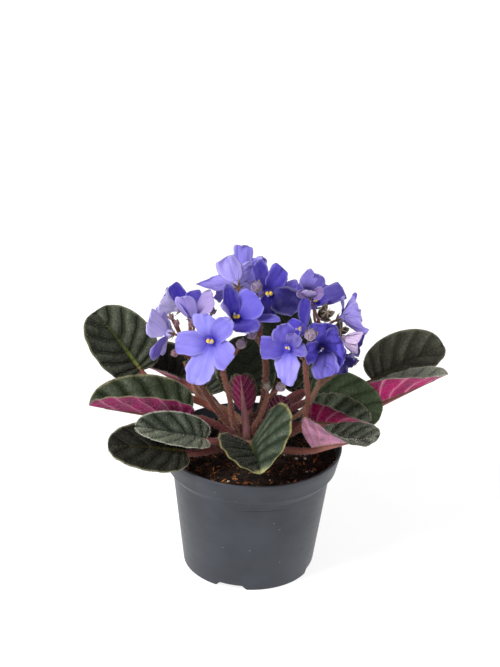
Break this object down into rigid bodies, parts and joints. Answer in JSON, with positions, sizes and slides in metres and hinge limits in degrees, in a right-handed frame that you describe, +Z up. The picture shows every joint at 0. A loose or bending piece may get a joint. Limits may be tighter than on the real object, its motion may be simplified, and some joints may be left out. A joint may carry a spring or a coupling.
{
  "type": "potted african violet",
  "caption": "Potted African violet: a low rosette of broad hairy leaves round stalks of violet blooms with yellow anthers, in a tapered plastic nursery pot of soil.",
  "frame": {"origin": "on the pot's axis, in the plane that the pot stands on", "axes": "+Z up, -Y towards the front of the plant, +X to its right as seen from the front"},
  "size_m": [0.2482, 0.1682, 0.2198],
  "materials": {
    "pot": "satin",
    "soil": "matte",
    "crown": "matte",
    "leaf": "matte",
    "stalk": "matte",
    "petal": "matte",
    "anther": "matte"
  },
  "bodies": {
    "root": {"pot": "pot", "soil": "soil", "crown": "crown", "leaf_left_high": "leaf", "leaf_left_behind": "leaf", "leaf_left_folded": "leaf", "leaf_left_low": "leaf", "leaf_left_small": "leaf", "leaf_front": "leaf", "leaf_right_pink": "leaf", "leaf_right_folded": "leaf", "leaf_right_broad": "leaf", "leaf_right_long": "leaf", "leaf_right_high": "leaf", "leaf_centre_upright": "leaf", "leaf_centre_young": "leaf", "leaf_back_tall": "leaf", "leaf_centre_inner": "leaf", "leaf_left_edge": "leaf", "leaf_back_left": "leaf", "leaf_back_middle": "leaf", "leaf_back_right": "leaf", "stalk_front_left": "stalk", "stalk_middle": "stalk", "stalk_left": "stalk", "stalk_right_front": "stalk", "stalk_right_back": "stalk", "stalk_young": "stalk", "bloom_front_left": "petal", "anthers_front_left": "anther", "bloom_middle": "petal", "anthers_middle": "anther", "bloom_middle_right": "petal", "anthers_middle_right": "anther", "bloom_top_left": "petal", "anthers_top_left": "anther", "bloom_top": "petal", "anthers_top": "anther", "bloom_left": "petal", "anthers_left": "anther", "bloom_left_small": "petal", "anthers_left_small": "anther", "bloom_left_outer": "petal", "anthers_left_outer": "anther", "bloom_right_top": "petal", "anthers_right_top": "anther", "bloom_right_upper": "petal", "anthers_right_upper": "anther", "bloom_right_outer": "petal", "anthers_right_outer": "anther", "bloom_front_right": "petal", "anthers_front_right": "anther", "bloom_crumpled": "petal", "anthers_crumpled": "anther", "bloom_edge_on": "petal", "anthers_edge_on": "anther", "bloom_right_low": "petal", "bloom_right_shaded": "petal"}
  },
  "joints": []
}
